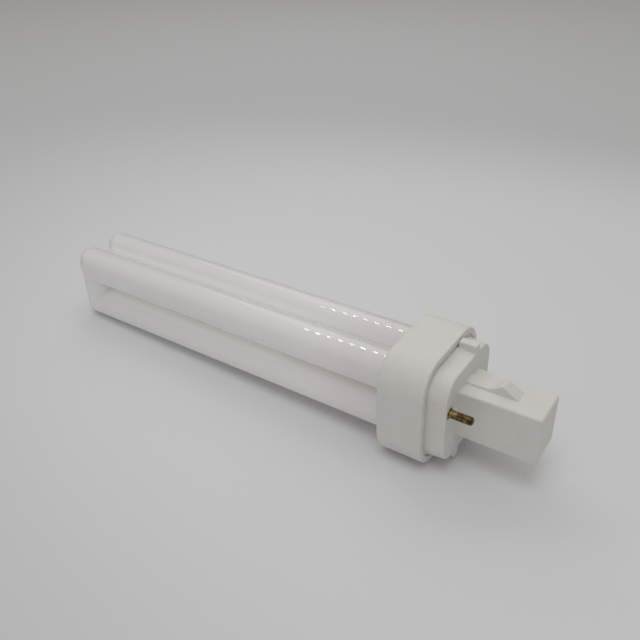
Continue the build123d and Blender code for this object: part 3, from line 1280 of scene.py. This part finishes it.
@dataclass
class Studio:
    """Pale floor, soft sky, broad lamps, a row of small lamps that glints on the legs, and the camera.

    The camera's angles are degrees, and its focal length is counted in the picture's pixels.
    """

    slope: float = -0.0348
    touch_x: float = -18.6
    touch_z: float = -17.25
    reach: float = 3000.0
    floor_x: float = -65.0
    floor_rings: int = 40
    floor_sides: int = 96
    paper: Triple = (0.643, 0.649, 0.658)
    # colour, place and reach of the pool of light painted on the paper
    painted_light_pool: Triple = (0.81, 0.815, 0.83)
    light_pool_place: Pair = (60.0, 60.0)
    light_pool_along: Pair = (200.0, 450.0)
    light_pool_narrowing: float = 1.83
    air: Triple = (1.0, 0.96, 0.915)
    horizon: float = 0.255
    zenith: float = 0.26
    key: Lamp = Lamp("broad_lamp", (40.0, -240.0, 800.0), size=420.0, power=1.3)
    rear: Lamp = Lamp("rear_lamp", (-300.0, 400.0, 480.0), size=420.0, power=0.38)
    fill_color: Triple = (1.03, 0.995, 0.965)
    fill: Lamp = Lamp("fill_lamp", (78.0, -581.0, 460.0), size=400.0, power=0.745)
    under: Lamp = Lamp("under_lamp", (-40.0, -209.0, -720.0), size=400.0, power=0.8)
    glint: Lamp = Lamp("small_lamp", (-126.0, 22.0, 144.0), size=2.2, power=0.0016)
    glint_height: float = 26.0
    glint_count: int = 8
    glint_step: Triple = (6.2, 3.7, 0.0)
    focal: float = 717.79
    frame_width: float = 640.0
    clip: Pair = (0.01, 20.0)
    eye: Triple = (57.68, -149.68, 129.46)
    azimuth: float = 35.567
    elevation: float = 32.869
    roll: float = -2.381

    def floor(self) -> None:
        """Floor under the lamp, tilted as the lamp rests: on its collar and on the far bends."""
        loops = []
        for ring in range(1, self.floor_rings + 1):
            row = circle(self.reach * (ring / self.floor_rings) ** 2, self.floor_sides)
            loops.append([Vector((self.floor_x + x, y, self.level(self.floor_x + x))) for x, y in row])
        floor = placed("floor", closed(skinned(loops, last=False)))
        floor.data.materials.append(self.paper_finish())

    def level(self, x: float) -> float:
        """Height of the floor at a place along the lamp."""
        return self.touch_z + self.slope * (x - self.touch_x)

    def paper_finish(self) -> Material:
        """Matt pale paper with a painted pool of light: brighter in a long patch under the lamp, darker
        further out.

        Returns:
            The material.
        """
        paint = Paint("pale_paper")
        x, y, _ = paint.split(paint.place)
        along = x - self.light_pool_place[0] * MM
        across = (y - self.light_pool_place[1] * MM) * self.light_pool_narrowing
        distance = (along * along + across * across).math("SQRT")
        # painted pool of light: the paper blends from the bright tone near the patch's centre to the darker
        # paper further out
        paint.set(Base_Color=paint.blend(distance.eased(*self.light_pool_along, MM), self.painted_light_pool, self.paper))
        paint.set(Roughness=0.9, Specular_IOR_Level=0.1)
        return paint.material

    def sky(self) -> None:
        """Even soft light that is a little brighter from above."""
        world = bpy.data.worlds.new("soft_sky")
        world.use_nodes = True
        nodes = Nodes(world.node_tree)
        _, _, z = nodes.split(nodes.node("ShaderNodeTexCoord").outputs["Generated"])
        level = z.math("MAXIMUM", 0.0) * self.zenith + self.horizon
        nodes.fill(world.node_tree.nodes["Background"], Strength=level, Color=(*self.air, 1.0))
        bpy.context.scene.world = world

    def lamps(self) -> None:
        """The broad lamp, the one behind and the row of small ones, which stand upright side by side."""
        self.key.hang()
        self.rear.hang()
        for i in range(self.glint_count):
            place = Vector(self.glint.place) + i * Vector(self.glint_step)
            small = replace(self.glint, name=f"{self.glint.name}_{i}", place=tuple(place)).hang()
            small.data.shape = "RECTANGLE"
            small.data.size_y = self.glint_height * MM
            back = (place - Vector(self.glint.aim)).normalized()
            row = Vector((1.0, 0.0, 0.0))
            row = (row - row.dot(back) * back).normalized()
            turn = Matrix((row, back.cross(row), back)).transposed().to_4x4()
            small.matrix_world = Matrix.Translation(place * MM) @ turn

    def glow_of(self, glass: Object) -> None:
        """Weak light on the glass alone, for what its walls pass on into the creases.

        Args:
            glass: The glass.
        """
        lit = bpy.data.collections.new("lit_glass")
        lit.objects.link(glass)
        for lamp in (self.fill, self.under):
            fill = replace(lamp, color=self.fill_color).hang()
            fill.data.use_shadow = False
            fill.visible_glossy = False
            fill.light_linking.receiver_collection = lit

    def camera(self) -> None:
        """Camera at the photograph's place and angles."""
        data = bpy.data.cameras.new("viewpoint")
        data.lens = self.focal * data.sensor_width / self.frame_width
        data.clip_start, data.clip_end = self.clip
        camera = placed("viewpoint", data)
        turn = (Matrix.Rotation(math.radians(self.azimuth), 4, "Z")
                @ Matrix.Rotation(QUARTER_TURN - math.radians(self.elevation), 4, "X")
                @ Matrix.Rotation(math.radians(self.roll), 4, "Z"))
        camera.matrix_world = Matrix.Translation(Vector(self.eye) * MM) @ turn
        bpy.context.scene.camera = camera

    def build(self) -> None:
        """Set the stage."""
        self.camera()
        self.floor()
        self.sky()
        self.lamps()
        bpy.context.scene.view_settings.view_transform = "Standard"


def main() -> None:
    """Build the stage and then the lamp, piece by piece."""
    logging.basicConfig(level=logging.INFO, format="%(name)s: %(message)s")
    studio = Studio()
    studio.build()
    tube = DischargeTube()
    studio.glow_of(tube.build(PhosphorGlass()))
    plastic = MouldedPlastic().material()
    Collar().build(tube.leg_offset, plastic)
    pins = [ContactPin(side) for side in Side]
    CapBase().build([pin.centre for pin in pins], plastic)
    brass = AgedBrass().material()
    for pin in pins:
        pin.build(brass)
    HiddenParts().build()


if __name__ == "__main__":
    main()
